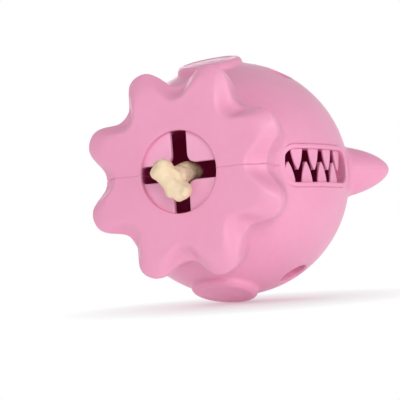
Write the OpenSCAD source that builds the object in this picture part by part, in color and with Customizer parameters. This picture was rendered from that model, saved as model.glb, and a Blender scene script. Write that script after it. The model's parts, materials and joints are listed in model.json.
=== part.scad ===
// Hollow rubber treat ball with a lobed collar, four flaps round a cross-shaped mouth,
// a toothed side slot, a tail, two round pads and a biscuit held in the mouth.

/* [Ball] */
// Outer diameter of the hollow ball
ball_d = 80; // [76:1:90]
// Thickness of the ball's rubber wall
wall = 5.5; // [5:0.1:7]

/* [Lobed collar] */
// Height of the collar's flat face above the top of the ball
collar_height = 3.5; // [3:0.1:4.4]
// Number of lobes round the collar
lobe_count = 8; // [6:2:10]
// Distance from the opening's axis to the tip of a lobe
lobe_tip_r = 33.8; // [33:0.1:35]
// Distance from the opening's axis to the valley between two lobes
lobe_valley_r = 26.6; // [25.5:0.1:27.5]
// Radius at which the foot of a lobe meets the ball
lobe_foot_r = 29.2; // [28:0.1:30]
// Bluntness of a lobe: 0 is a plain wave, 1 has steep sides
lobe_blunt = 0.6; // [0:0.05:1]
// Width of the rounding at the collar's edge
rim_round = 5; // [3:0.5:6]
// Height of the rounding at the collar's edge
rim_drop = 1.8; // [1.4:0.1:3]

/* [Mouth and flaps] */
// Diameter of the round recess in the collar's face
recess_d = 25.2; // [24.4:0.2:27]
// Depth from the collar's face to the front of the flaps
recess_depth = 1.8; // [1.4:0.1:2.2]
// Thickness of the sleeve round the mouth, which plugs into the ball
sleeve_wall = 2.9; // [2:0.1:3.5]
// Thickness of a flap
flap_t = 1.8; // [1.6:0.1:2.2]
// Width of the cross-shaped gap between the flaps
cross_gap = 5.2; // [5:0.1:6]
// Rounding of the free corner of a flap
flap_corner_r = 2.8; // [2.6:0.1:2.9]
// Distance from the opening's axis to the line on which a flap bends
flap_bend_r = 10; // [9.8:0.1:10.2]
// Gap left free at the root of each part that bends
bend_clear = 0.3; // [0.25:0.05:0.4]

/* [Toothed slot] */
// Angle between the opening's axis and the middle of the slot
slot_angle = 67.8; // [66:0.2:70]
// Length of the slot, measured along the ball
slot_length = 30.6; // [30.4:0.2:31.4]
// Width of the slot
slot_w = 10.5; // [10:0.1:11.5]
// Corner radius of the slot at its end near the mouth
slot_corner_r = 4.4; // [4.2:0.1:4.6]
// Corner radius of the slot at its end near the tail
slot_far_corner_r = 2.4; // [2.2:0.1:2.5]
// Width of the raised lip round the slot
lip_w = 1.4; // [1:0.1:1.6]
// Height of the raised lip above the ball
lip_h = 0.5; // [0.3:0.1:0.8]
// Distance from tooth to tooth on one side of the slot, along the ball
tooth_pitch = 7.1; // [7:0.05:7.15]
// Distance from the slot's end to the first upper tooth, along the ball
tooth_start = 5.7; // [5.6:0.1:5.8]
// Length of a tooth
tooth_length = 6.5; // [6:0.1:6.9]
// Width of a tooth at its root
tooth_root_w = 4.4; // [4.2:0.1:4.5]
// Radius of a tooth's tip
tooth_tip_r = 0.8; // [0.7:0.1:0.9]
// Thickness of a tooth
tooth_t = 1.8; // [1.6:0.1:2.2]
// Depth of a tooth's front face below the ball
tooth_recess = 1.2; // [1:0.1:1.4]

/* [Side holes] */
// Diameter of the round holes in the side of the ball
side_hole_d = 9.7; // [8:0.1:11]
// Angle between the opening's axis and a side hole
side_hole_angle = 85; // [82:0.5:88]
// Angle of a side hole round the opening's axis, from the seam
side_hole_turn = 58.5; // [56:0.5:61]

/* [Round pads] */
// Outer diameter of a round pad
pad_d = 22; // [18:0.5:24]
// Height of a pad's rim above the ball
pad_h = 2.2; // [1.8:0.1:3]
// Radius of a pad's rounded rim
pad_rim_r = 1.9; // [1.7:0.1:2]
// Height of the sunken disc inside a pad above the ball
pad_floor_h = 0.6; // [0.4:0.1:0.8]
// Radius of the blend at the foot of a pad
pad_foot_r = 1.2; // [0.6:0.1:1.6]
// Angle between the opening's axis and a pad
pad_angle = 70.4; // [69:0.2:72]

/* [Tail] */
// Diameter of the tail where it leaves the ball
tail_base_d = 17.2; // [15:0.2:19]
// Length of the tail beyond the ball
tail_length = 15; // [12:0.5:22]
// Bulge of the tail's side: 1 is a cone
tail_bulge = 1.4; // [1.2:0.1:1.8]
// Bluntness of the tail's tip: 1 is sharp
tail_blunt = 0.55; // [0.5:0.01:0.7]
// Radius of the blend at the foot of the tail
tail_foot_r = 1.5; // [0.8:0.1:2]
// Angle between the opening's axis and the tail
tail_angle = 117; // [114:1:122]

/* [Biscuit] */
// Distance between the two ends' knobs, along the biscuit
biscuit_span = 25; // [25:0.5:29]
// Radius of a knob
knob_r = 3.7; // [3.5:0.1:3.8]
// Distance between the two knobs of one end
knob_gap = 9; // [8:0.1:9.4]
// Radius of the biscuit's shaft
shaft_r = 3.8; // [3.7:0.1:3.9]
// Radius of the web between the two knobs of one end
web_r = 3.1; // [2.6:0.1:3.2]
// Distance from the flaps' middle to the outer knobs, along the biscuit
biscuit_out = 7.2; // [7.2:0.1:8.4]
// Lean of the biscuit away from the opening's axis
biscuit_lean = 14; // [10:1:15]
// Direction of the lean round the opening's axis
biscuit_lean_turn = -105; // [-115:1:-95]
// Turn of the biscuit about its own shaft
biscuit_spin = 56; // [45:1:65]

/* [Hidden] */
$fn = 180;

rubber = "#eb9cc0";
rubber_flap = "#e792b8";
rubber_tooth = "#eea5c6";
baked = "#e6cfa9";

// Ball and collar, measured from the ball's centre along the opening's axis
ball_r = ball_d / 2;
chamber_r = ball_r - wall;
face_z = ball_r + collar_height;
rim_z = face_z - rim_drop;
foot_z = sqrt(ball_r * ball_r - lobe_foot_r * lobe_foot_r);
collar_sink = 3;
sunk_z = foot_z - collar_sink;
recess_r = recess_d / 2;
sleeve_r = recess_r + sleeve_wall;
sleeve_z = sqrt(chamber_r * chamber_r - sleeve_r * sleeve_r);
far = 4 * ball_r;

// Points round one lobe, and steps along the curves
points_per_lobe = 16;
edge_steps = 4;
side_steps = 4;
corner_steps = 6;
tooth_steps = 6;
flap_corner_steps = 10;
pad_rim_steps = 12;
foot_steps = 4;
tail_steps = 20;

// Flaps
flap_front_z = face_z - recess_depth;
flap_back_z = flap_front_z - flap_t;
flap_mid_z = flap_front_z - flap_t / 2;
flap_root_half = flap_bend_r - cross_gap / sqrt(2);
arm_inset = 0.1;
arm_end = sqrt(recess_r * recess_r - cross_gap * cross_gap / 4) - arm_inset;
layer_over = 1;

// Slot and teeth: lengths along the ball become angles
degrees_per_mm = 180 / (PI * ball_r);
slot_half_angle = slot_length * degrees_per_mm / 2;
slot_half_x = ball_r * sin(slot_half_angle);
tooth_step = tooth_pitch * degrees_per_mm;
first_upper = slot_angle - slot_half_angle + tooth_start * degrees_per_mm;
first_lower = first_upper + tooth_step / 2;
end_tooth_angle = first_upper - tooth_step / 2;
tooth_bend_z = ball_r - tooth_recess - tooth_t / 2;
end_tooth_seat = 0.6;
tooth_taper = 1.1;
tooth_tip_turn = 20;

// Pads
pad_r = pad_d / 2;
pad_ring_r = pad_r - pad_rim_r;
pad_ring_z = sqrt((ball_r + pad_h) * (ball_r + pad_h) - pad_ring_r * pad_ring_r) - pad_rim_r;
pad_floor_z = ball_r + pad_floor_h;
pad_rim_start = 180 - asin((pad_floor_z - pad_ring_z) / pad_rim_r);
pad_sink = 1;
pad_sunk_z = ball_r * cos(asin((pad_r + pad_foot_r) / ball_r)) - pad_sink;
pad_edge_z = sqrt(ball_r * ball_r - pad_r * pad_r);

// Tail
tail_base_r = tail_base_d / 2;
tail_base_z = sqrt(ball_r * ball_r - tail_base_r * tail_base_r);
tail_tip_z = ball_r + tail_length;
tail_span = tail_tip_z - tail_base_z;
tail_sink = 2;

// Biscuit
knob_half = knob_gap / 2;

// Row frame: the opening looks along -Y, the tail and the slot are on the +X side, the seam is level,
// and the origin is on the floor under the middle of the object
tail_reach = max([for (p = tail_profile()) p[0] * abs(cos(tail_angle)) + p[1] * sin(tail_angle)]);
biscuit_front = flap_mid_z + biscuit_out * cos(biscuit_lean)
    + knob_half * abs(sin(biscuit_lean) * cos(biscuit_spin)) + knob_r;
pad_tilt = 90 - pad_angle;
lift = pad_ring_z * cos(pad_tilt) + pad_ring_r * sin(pad_tilt) + pad_rim_r;
row_x = -(tail_reach - ball_r) / 2;
row_y = (biscuit_front - ball_r) / 2;

// Points on an arc about a centre
function arc(centre, r, from, to, steps) = [
    for (i = [0 : steps]) let (a = from + (to - from) * i / steps)
        [centre[0] + r * cos(a), centre[1] + r * sin(a)]
];

// Outline of the slot, grown by a margin, with rounder corners at its end near the mouth
function slot_outline(margin) = let (
    half_x = slot_half_x + margin,
    half_y = slot_w / 2 + margin,
    near_r = slot_corner_r + margin,
    far_r = slot_far_corner_r + margin
) concat(
    arc([half_x - far_r, half_y - far_r], far_r, 0, 90, corner_steps),
    arc([near_r - half_x, half_y - near_r], near_r, 90, 180, corner_steps),
    arc([near_r - half_x, near_r - half_y], near_r, 180, 270, corner_steps),
    arc([half_x - far_r, far_r - half_y], far_r, 270, 360, corner_steps)
);

// Wave of the collar's outline: 0 in a valley, 1 at a lobe, with a valley on the seam
function ease(t) = t * t * (3 - 2 * t);
function plain_wave(a) = (1 - cos(lobe_count * a)) / 2;
function lobe_wave(a) = plain_wave(a) * (1 - lobe_blunt) + ease(plain_wave(a)) * lobe_blunt;
function rim_r(a) = lobe_valley_r + (lobe_tip_r - lobe_valley_r) * lobe_wave(a);
function neck_r(a) = lobe_valley_r + (lobe_foot_r - lobe_valley_r) * lobe_wave(a);

// One point of the collar's rounded edge, of its side, and of the part sunk into the ball
function edge_point(a, t) = [rim_r(a) - rim_round + rim_round * sin(90 * t), rim_z + rim_drop * cos(90 * t)];
function side_point(a, t) = [
    rim_r(a) + (neck_r(a) - rim_r(a)) * ease(t),
    rim_z + (foot_z - rim_z) * t
];
function collar_column(a) = concat(
    [for (i = [0 : edge_steps]) edge_point(a, i / edge_steps)],
    [for (i = [1 : side_steps]) side_point(a, i / side_steps)],
    [[neck_r(a), sunk_z]]
);

// Half width of a tooth at a share of its length, from root to tip
function tooth_half(t) = tooth_tip_r + (tooth_root_w / 2 - tooth_tip_r) * (1 - pow(t, tooth_taper));
function tooth_side() = [
    for (i = [0 : tooth_steps]) let (t = i / tooth_steps) [tooth_half(t), -(tooth_length - tooth_tip_r) * t]
];
function tooth_outline() = concat(
    tooth_side(),
    arc([0, tooth_tip_r - tooth_length], tooth_tip_r, -tooth_tip_turn, tooth_tip_turn - 180, tooth_steps),
    [for (i = [tooth_steps : -1 : 0]) let (p = tooth_side()[i]) [-p[0], p[1]]]
);

// Profile of a pad, from its middle out to its foot
function pad_profile() = concat(
    [[0, pad_sunk_z], [0, pad_floor_z]],
    arc([pad_ring_r, pad_ring_z], pad_rim_r, pad_rim_start, 0, pad_rim_steps),
    arc([pad_r + pad_foot_r, pad_edge_z + pad_foot_r / 2], pad_foot_r, 180, 225, foot_steps),
    [[pad_r + pad_foot_r, pad_sunk_z]]
);

// Profile of the tail, from its foot out to its tip
function tail_share(z) = max(0, 1 - pow((z - tail_base_z) / tail_span, tail_bulge));
function tail_r(z) = tail_base_r * pow(tail_share(z), tail_blunt);
function tail_z(i) = tail_base_z + tail_foot_r + (tail_span - tail_foot_r) * sin(90 * i / tail_steps);
function tail_profile() = concat(
    [[0, tail_base_z - tail_sink], [tail_base_r + tail_foot_r, tail_base_z - tail_sink]],
    [[tail_base_r + tail_foot_r, tail_base_z - tail_foot_r / 2]],
    [[tail_base_r + tail_foot_r / 3, tail_base_z + tail_foot_r / 3]],
    [for (i = [1 : tail_steps - 1]) [tail_r(tail_z(i)), tail_z(i)]],
    [[0, tail_z(tail_steps - 1)]]
);

// Puts what is modelled about the opening's axis into the row frame
module in_row() {
    translate([row_x, row_y, lift]) rotate([90, 0, 0]) children();
}

// Turns the opening's axis to a direction on the ball
module towards(angle, turn) {
    rotate([0, 0, turn]) rotate([0, angle, 0]) children();
}

// Keeps the half of the ball on one side of the seam: 1 is the upper half
module half(side) {
    intersection() {
        children();
        translate([-far, side > 0 ? 0 : -2 * far, -far]) cube(2 * far);
    }
}

// A solid along the slot's outline, grown by a margin
module slot_prism(margin) {
    towards(slot_angle, 0)
        translate([0, 0, chamber_r / 2])
            linear_extrude(height = ball_r)
                polygon(slot_outline(margin));
}

// Places a tooth: the line on which it bends lies along X, and the tooth points along -Y
module at_tooth(angle, side) {
    towards(angle, 0)
        translate([0, side * slot_w / 2, tooth_bend_z])
            rotate([0, 0, side > 0 ? 0 : 180]) children();
}

module tooth_blade() {
    translate([0, 0, -tooth_t / 2]) linear_extrude(height = tooth_t) polygon(tooth_outline());
}

module tooth_root(clear) {
    rotate([0, 90, 0]) cylinder(r = tooth_t / 2 + clear, h = tooth_root_w + 2 * clear, center = true);
}

module tooth(angle, side) {
    in_row() at_tooth(angle, side) {
        tooth_blade();
        tooth_root(0);
    }
}

// Pockets in the slot's long sides, in which the roots of the teeth turn
module tooth_pockets() {
    for (i = [0 : 3]) at_tooth(first_upper + i * tooth_step, 1) tooth_root(bend_clear);
    for (i = [0 : 2]) at_tooth(first_lower + i * tooth_step, -1) tooth_root(bend_clear);
}

// The lower tooth at the slot's end, which is joined to the wall along its root and its outer side
module end_tooth() {
    intersection() {
        at_tooth(end_tooth_angle, -1) translate([0, -end_tooth_seat, 0]) tooth_blade();
        union() {
            half(-1) slot_prism(end_tooth_seat);
            slot_prism(0);
        }
    }
}

module side_hole(turn) {
    towards(side_hole_angle, turn) cylinder(d = side_hole_d, h = ball_r + pad_h);
}

// A sphere about the ball's centre, with its poles at the top and the bottom
module ball(r) {
    rotate([0, 90, 0]) rotate([90, 0, 0]) sphere(r = r);
}

// The ball's wall with its lip, mouth, slot and side holes
module ball_wall() {
    difference() {
        union() {
            ball(ball_r);
            intersection() {
                ball(ball_r + lip_h);
                slot_prism(lip_w);
            }
        }
        ball(chamber_r);
        cylinder(r = sleeve_r, h = face_z);
        slot_prism(0);
        tooth_pockets();
        side_hole(side_hole_turn);
        side_hole(-side_hole_turn);
    }
}

module upper_shell() {
    color(rubber) in_row() half(1) ball_wall();
}

module lower_shell() {
    color(rubber) in_row() {
        half(-1) ball_wall();
        end_tooth();
    }
}

// Half of the collar's outer form, lofted from the seam round to the seam
module collar_loft() {
    columns = points_per_lobe * lobe_count / 2;
    rows = len(collar_column(0));
    points = concat(
        [for (i = [0 : columns]) let (a = 180 * i / columns)
            for (p = collar_column(a)) [p[0] * cos(a), i == columns ? 0 : p[0] * sin(a), p[1]]],
        [[0, 0, face_z], [0, 0, sunk_z]]
    );
    top = (columns + 1) * rows;
    bottom = top + 1;
    function at(i, j) = i * rows + j;
    faces = concat(
        [for (i = [0 : columns - 1]) for (j = [0 : rows - 2]) [at(i, j), at(i + 1, j), at(i + 1, j + 1)]],
        [for (i = [0 : columns - 1]) for (j = [0 : rows - 2]) [at(i, j), at(i + 1, j + 1), at(i, j + 1)]],
        [for (i = [0 : columns - 1]) [top, at(i + 1, 0), at(i, 0)]],
        [for (i = [0 : columns - 1]) [bottom, at(i, rows - 1), at(i + 1, rows - 1)]],
        [concat([top], [for (j = [0 : rows - 1]) at(0, j)], [bottom],
            [for (j = [rows - 1 : -1 : 0]) at(columns, j)])]
    );
    polyhedron(points, faces);
}

// Outline of the hole that the flaps leave in their layer: a cross, with a straight root line in each quarter
function flap_hole() = [
    for (q = [0 : 3]) for (p = [
        [arm_end, -cross_gap / 2],
        [arm_end, cross_gap / 2],
        [flap_bend_r * sqrt(2) - cross_gap / 2, cross_gap / 2],
        [cross_gap / 2, flap_bend_r * sqrt(2) - cross_gap / 2]
    ]) [p[0] * cos(90 * q) - p[1] * sin(90 * q), p[0] * sin(90 * q) + p[1] * cos(90 * q)]
];

// Places a flap: the line on which it bends lies along Y, and the flap points along -X
module at_flap(turn) {
    rotate([0, 0, turn]) translate([flap_bend_r, 0, flap_mid_z]) children();
}

module flap_root(clear) {
    rotate([90, 0, 0]) cylinder(r = flap_t / 2 + clear, h = 2 * (flap_root_half + clear), center = true);
}

// The mouth cut through the collar: recess, flap layer with the flaps' root pockets, and passage
module mouth() {
    translate([0, 0, flap_front_z]) cylinder(r = recess_r, h = ball_r);
    translate([0, 0, flap_back_z - layer_over])
        linear_extrude(height = flap_t + 2 * layer_over) polygon(flap_hole());
    for (turn = [45 : 90 : 315]) at_flap(turn) flap_root(bend_clear);
    cylinder(r = recess_r, h = flap_back_z);
}

// One half of the collar, with its sleeve and the fixed roots of two flaps
module collar(side) {
    difference() {
        union() {
            difference() {
                mirror([0, side > 0 ? 0 : 1, 0]) collar_loft();
                sphere(r = ball_r);
            }
            half(side) translate([0, 0, sleeve_z]) cylinder(r = sleeve_r, h = rim_z - sleeve_z);
        }
        mouth();
    }
}

module upper_collar() {
    color(rubber) in_row() collar(1);
}

module lower_collar() {
    color(rubber) in_row() collar(-1);
}

// The free part of one flap
module flap(turn) {
    tip_x = cross_gap / sqrt(2) + flap_corner_r * sqrt(2) - flap_bend_r;
    outline = concat(
        [[0, -flap_root_half], [0, flap_root_half]],
        arc([tip_x, 0], flap_corner_r, 135, 225, flap_corner_steps)
    );
    in_row() at_flap(turn) {
        translate([0, 0, -flap_t / 2]) linear_extrude(height = flap_t) polygon(outline);
        flap_root(0);
    }
}

module upper_right_flap() {
    color(rubber_flap) flap(45);
}

module upper_left_flap() {
    color(rubber_flap) flap(135);
}

module lower_left_flap() {
    color(rubber_flap) flap(225);
}

module lower_right_flap() {
    color(rubber_flap) flap(315);
}

// A round pad with a rounded rim and a sunken disc, seated on the ball
module pad(turn) {
    in_row() difference() {
        towards(pad_angle, turn) rotate_extrude() polygon(pad_profile());
        sphere(r = ball_r);
    }
}

module upper_pad() {
    color(rubber) pad(90);
}

module lower_pad() {
    color(rubber) pad(-90);
}

// The pointed tail, seated on the ball
module tail() {
    color(rubber) in_row() difference() {
        towards(tail_angle, 0) rotate_extrude() polygon(tail_profile());
        sphere(r = ball_r);
    }
}

module upper_tooth(i) {
    color(rubber_tooth) tooth(first_upper + (i - 1) * tooth_step, 1);
}

module lower_tooth(i) {
    color(rubber_tooth) tooth(first_lower + (i - 1) * tooth_step, -1);
}

// Bone-shaped biscuit, whose shaft passes between the flaps
module biscuit() {
    color(baked) in_row()
        translate([0, 0, flap_mid_z]) towards(biscuit_lean, biscuit_lean_turn) rotate([0, 0, biscuit_spin]) {
            for (z = [biscuit_out, biscuit_out - biscuit_span]) translate([0, 0, z]) {
                for (x = [-knob_half, knob_half]) translate([x, 0, 0]) sphere(r = knob_r);
                rotate([0, 90, 0]) cylinder(r = web_r, h = knob_gap, center = true);
            }
            translate([0, 0, biscuit_out - biscuit_span]) cylinder(r = shaft_r, h = biscuit_span);
        }
}

upper_shell();
lower_shell();
upper_collar();
lower_collar();
tail();
upper_pad();
lower_pad();
upper_right_flap();
upper_left_flap();
lower_left_flap();
lower_right_flap();
upper_tooth(1);  // upper_tooth_1
upper_tooth(2);  // upper_tooth_2
upper_tooth(3);  // upper_tooth_3
upper_tooth(4);  // upper_tooth_4
lower_tooth(1);  // lower_tooth_1
lower_tooth(2);  // lower_tooth_2
lower_tooth(3);  // lower_tooth_3
biscuit();
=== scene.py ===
"""Dresses the packed treat ball: satin pink rubber, a baked biscuit and a plain pale stage."""

import json
import math

import bmesh
import bpy
from bpy.props import FloatProperty, FloatVectorProperty, IntProperty, PointerProperty
from mathutils import Matrix, Vector


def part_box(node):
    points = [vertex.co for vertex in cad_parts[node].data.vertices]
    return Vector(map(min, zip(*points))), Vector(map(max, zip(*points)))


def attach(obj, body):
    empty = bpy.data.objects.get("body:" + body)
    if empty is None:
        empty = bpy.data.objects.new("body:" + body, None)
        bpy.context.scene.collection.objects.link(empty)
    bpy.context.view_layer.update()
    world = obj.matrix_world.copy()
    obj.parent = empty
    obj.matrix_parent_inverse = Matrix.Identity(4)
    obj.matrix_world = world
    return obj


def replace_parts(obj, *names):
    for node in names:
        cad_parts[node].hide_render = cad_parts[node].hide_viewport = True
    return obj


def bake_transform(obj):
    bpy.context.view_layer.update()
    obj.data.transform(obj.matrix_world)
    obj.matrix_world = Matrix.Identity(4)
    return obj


bl_info = {
    "name": "Treat ball",
    "version": (1, 0, 0),
    "blender": (4, 5, 0),
    "location": "3D View > Sidebar > Treat ball",
    "description": "Models the soft rubber skin, flaps, teeth and biscuit of a treat ball on its packed frame",
    "category": "Object",
}

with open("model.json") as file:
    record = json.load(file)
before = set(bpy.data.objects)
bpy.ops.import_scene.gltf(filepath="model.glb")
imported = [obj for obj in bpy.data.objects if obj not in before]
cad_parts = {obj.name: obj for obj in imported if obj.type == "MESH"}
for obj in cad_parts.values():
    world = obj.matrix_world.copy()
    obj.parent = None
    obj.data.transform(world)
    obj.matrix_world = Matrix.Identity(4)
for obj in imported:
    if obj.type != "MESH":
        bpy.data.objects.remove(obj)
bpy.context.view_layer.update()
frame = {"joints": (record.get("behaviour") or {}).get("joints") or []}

SHELL_LOW, SHELL_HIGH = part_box("upper_shell")
BALL_R = SHELL_HIGH.z - SHELL_LOW.z
CENTRE = Vector((SHELL_LOW.x + BALL_R, SHELL_HIGH.y - BALL_R, SHELL_LOW.z))
JOINTS = {joint["child"]: joint for joint in frame["joints"]}
FLAPS = {"upper_right_flap": 45, "upper_left_flap": 135, "lower_left_flap": 225, "lower_right_flap": 315}
OUT = Vector((0, -1, 0))
UP = Vector((0, 0, 1))
FULL_TURN = 2 * math.pi
MM = 0.001
TUCK = 0.5 * MM  # how far a soft foot runs on past its edge, under the ball's skin
ROOT_IN = 1.2 * MM  # how far a tooth's root runs into the slot's wall
WHITE, BLACK = (1, 1, 1, 1), (0, 0, 0, 1)


# Properties


def length(name, description, millimetres):
    return FloatProperty(
        name=name, description=description, default=millimetres * MM, subtype="DISTANCE", unit="LENGTH", precision=5
    )


def angle(name, description, degrees):
    return FloatProperty(
        name=name, description=description, default=math.radians(degrees), subtype="ANGLE", unit="ROTATION"
    )


def share(name, description, default):
    return FloatProperty(name=name, description=description, default=default, min=0, max=1, subtype="FACTOR")


def colour(name, description, default):
    return FloatVectorProperty(
        name=name, description=description, default=(*default, 1), size=4, min=0, max=1, subtype="COLOR"
    )


class BallSizes(bpy.types.PropertyGroup):
    """Sizes of the ball, its side holes, pads and tail"""

    radius: length("Ball radius", "From the centre to the skin", BALL_R / MM)
    wall: length("Wall", "Thickness of the rubber wall", 5.5)
    seam_w: length("Seam width", "Width of the mould seam's fine groove", 0.36)
    seam_depth: length("Seam depth", "Depth of the mould seam's fine groove", 0.18)
    hole_r: length("Side hole radius", "Radius of a side hole", 4.85)
    hole_angle: angle("Side hole angle", "Angle of a side hole from the opening's axis", 85)
    hole_turn: angle("Side hole turn", "Turn of a side hole from the seam", 58.5)
    hole_round: length("Side hole edge", "Rounding of a side hole's edge", 0.7)
    pad_r: length("Pad radius", "Outer radius of a round pad", 11)
    pad_h: length("Pad height", "Height of a pad's rim above the ball", 2.2)
    pad_rim_r: length("Pad rim", "Radius of a pad's rounded rim", 1.9)
    pad_floor_h: length("Pad floor", "Height of the sunken disc above the ball", 1.2)
    pad_foot: length("Pad foot", "Width of the soft foot round a pad", 2)
    pad_angle: angle("Pad angle", "Angle of a pad from the opening's axis", 70.4)
    tail_r: length("Tail radius", "Radius of the tail at its foot", 8.6)
    tail_length: length("Tail length", "Length of the tail beyond the ball", 14.9)
    tail_bulge: FloatProperty(name="Tail bulge", description="Bulge of the tail's side", default=1.4)
    tail_blunt: FloatProperty(name="Tail bluntness", description="Bluntness of the tail's tip", default=0.55)
    tail_foot: length("Tail foot", "Width of the soft foot round the tail", 2.2)
    tail_angle: angle("Tail angle", "Angle of the tail from the opening's axis", 117)


class CollarSizes(bpy.types.PropertyGroup):
    """Sizes of the lobed collar"""

    face: length("Face", "Distance of the flat face from the ball's centre", 43.5)
    lobes: IntProperty(name="Lobes", description="Number of lobes", default=8, min=4, max=12)
    tip_r: length("Lobe tip", "Radius at the tip of a lobe", 33.8)
    valley_r: length("Valley", "Radius at a valley between two lobes", 26.6)
    foot_r: length("Lobe foot", "Radius at the neck below a lobe", 29.2)
    blunt: share("Bluntness", "How steep the sides of a lobe are", 0.6)
    rim_w: length("Rim width", "Width of the sloped shoulder in a valley", 6)
    lobe_w: length("Lobe width", "Extra width of the shoulder on a lobe", 1.5)
    rim_drop: length("Rim height", "Height of the shoulder at a lobe's edge", 2.7)
    dip: length("Valley dip", "Extra height of the shoulder in a valley", 2.2)
    scoop: share("Scoop", "How far the shoulder levels out towards the rim in a valley", 0.7)
    rim_r: length("Rim rounding", "Rounding of the collar's edge below the shoulder", 0.9)
    valley_w: length("Valley width", "Extra radius of the collar in a valley", 0.5)
    flare: length("Flare", "Width of the soft foot on the ball", 1.8)
    edge: length("Recess edge", "Rounding of the recess's edge", 0.45)


class MouthSizes(bpy.types.PropertyGroup):
    """Sizes of the mouth and its flaps"""

    recess_r: length("Recess radius", "Radius of the round recess", 12.6)
    recess_depth: length("Recess depth", "Depth of the flaps below the face", 1.8)
    thickness: length("Flap thickness", "Thickness of a flap", 1.8)
    gap: length("Cross gap", "Width of the cross between the flaps", 5.2)
    corner_r: length("Flap corner", "Rounding of a flap's free corner", 2.8)
    edge: length("Flap edge", "Rounding of a flap's edges", 0.5)
    sleeve_r: length("Sleeve", "Outer radius of the sleeve in the ball's mouth", 15.5)
    sleeve_z: length("Sleeve end", "Distance of the sleeve's inner end from the ball's centre", 31.2)
    bend: length("Bend", "Length over which a flap bends", 2.6)


class SlotSizes(bpy.types.PropertyGroup):
    """Sizes of the toothed slot"""

    turn: angle("Slot angle", "Angle of the slot's middle from the opening's axis", 67.8)
    length: length("Slot length", "Length of the slot along the ball", 30.6)
    width: length("Slot width", "Width of the slot", 10.5)
    near_r: length("Near corner", "Corner radius of the slot at its end near the mouth", 4.4)
    far_r: length("Far corner", "Corner radius of the slot at its end near the tail", 3.7)
    lip_w: length("Lip width", "Width of the raised lip", 1.4)
    lip_h: length("Lip height", "Height of the raised lip", 0.5)
    crease: length("Crease", "Depth of the fine crease round the lip", 0.16)
    lip_fade: length("Lip fade", "Length over which the lip rises from the end near the mouth", 7)
    tooth_length: length("Tooth length", "Length of a tooth", 6.5)
    tooth_root: length("Tooth root", "Width of a tooth at its root", 4.4)
    tooth_t: length("Tooth thickness", "Thickness of a tooth", 1.8)
    tooth_side: length("Tooth side", "Thickness of a tooth along its sides", 0.55)
    tooth_edge: length("Tooth edge", "Rounding of a tooth's edges", 0.3)
    pitch: length("Pitch", "Distance from tooth to tooth along the ball", 7.1)
    bend: length("Bend", "Length over which a tooth bends", 2.2)


class BiscuitSizes(bpy.types.PropertyGroup):
    """Sizes of the biscuit"""

    span: length("Span", "Distance between the knobs of the two ends", 25)
    knob_r: length("Knob radius", "Radius of a knob", 3.7)
    knob_gap: length("Knob gap", "Distance between the two knobs of one end", 8.1)
    shaft_r: length("Shaft radius", "Radius of the shaft", 3.5)
    web_r: length("Web radius", "Radius of the web between the two knobs of one end", 3.2)
    out: length("Out", "Distance of the outer knobs from the flaps' middle", 7.2)
    lean: angle("Lean", "Lean away from the opening's axis", 17)
    lean_turn: angle("Lean turn", "Direction of the lean", -105)
    spin: angle("Spin", "Turn about the biscuit's own shaft", 49)
    sag: length("Sag", "How far the biscuit hangs below the mouth's middle", 0.75)
    aside: length("Aside", "How far the biscuit lies towards the slot", 0.45)
    lump: length("Lumps", "Height of the baked lumps", 1.2)
    crumb: length("Crumbs", "Height of the fine crumbs", 0.22)


class Looks(bpy.types.PropertyGroup):
    """Colours of the rubber and the biscuit, and the painted light, shade and glow on them"""

    rubber: colour("Rubber", "Pink of the moulded rubber", (0.82, 0.345, 0.52))
    # Painted light: a paler copy of the pink for the flaps, lifting the shade of the recess they sit in
    rubber_painted_light: colour("Thin rubber", "Paler pink where light comes through the thin flaps", (0.88, 0.42, 0.61))
    rubber_deep: colour("Deep rubber", "Pink where the rubber is thick and turned away", (0.77, 0.28, 0.45))
    seam: colour("Seam", "Pink in the mould seam's groove", (0.66, 0.2, 0.35))
    # Painted glow: a dim pink emission on the walls of the slot and the holes, standing in for light in the pink rubber
    through: colour("Through", "Light that comes through the rubber into the slot and the holes", (0.17, 0.01, 0.05))
    # Painted shade: dark rubber put where the inside of the ball and the mouth's wall lie in shade
    inside: colour("Chamber", "Rubber on the unlit inside of the ball", (0.09, 0.006, 0.024))
    # Painted glow: a faint emission laid over the painted shade inside the ball, though no lamp is there
    glow: colour("Glow", "Dim light that comes through the rubber into the ball", (0.04, 0.0005, 0.0065))
    crust: colour("Biscuit", "Pale crust of the biscuit", (0.83, 0.66, 0.455))
    # The biscuit turns towards this colour in random patches and towards its inner end, where it is partly painted
    # shade
    baked: colour("Baked", "Browner crust in the biscuit's hollows", (0.45, 0.32, 0.2))
    floor: colour("Floor", "Pale floor", (0.92, 0.92, 0.93))


# Modelling


def spot(across, above, out):
    """A place in the row frame, from the ball's centre: towards the slot, above the seam and out of the mouth."""
    return CENTRE + Vector((across, -out, above))


def heading(turned, turn):
    """A direction from the ball's centre: turned away from the opening's axis, then round it from the slot's side."""
    return Vector(
        (math.sin(turned) * math.cos(turn), -math.cos(turned), math.sin(turned) * math.sin(turn))
    )


def ease(t):
    t = min(max(t, 0), 1)
    return t * t * (3 - 2 * t)


def arc(middle, radius, start, end, steps):
    """Points of an arc in a profile, with its angles in degrees."""
    turns = [math.radians(start + (end - start) * i / steps) for i in range(steps + 1)]
    return [(middle[0] + radius * math.cos(a), middle[1] + radius * math.sin(a)) for a in turns]


def sweep(a, b, c, d, steps):
    """Points of a smooth curve in a profile, from a to d, with b and c as its handles."""
    points = []
    for i in range(steps + 1):
        t = i / steps
        parts = ((1 - t) ** 3, 3 * t * (1 - t) ** 2, 3 * t * t * (1 - t), t**3)
        points.append(tuple(sum(p * v[k] for p, v in zip(parts, (a, b, c, d))) for k in (0, 1)))
    return points


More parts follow.
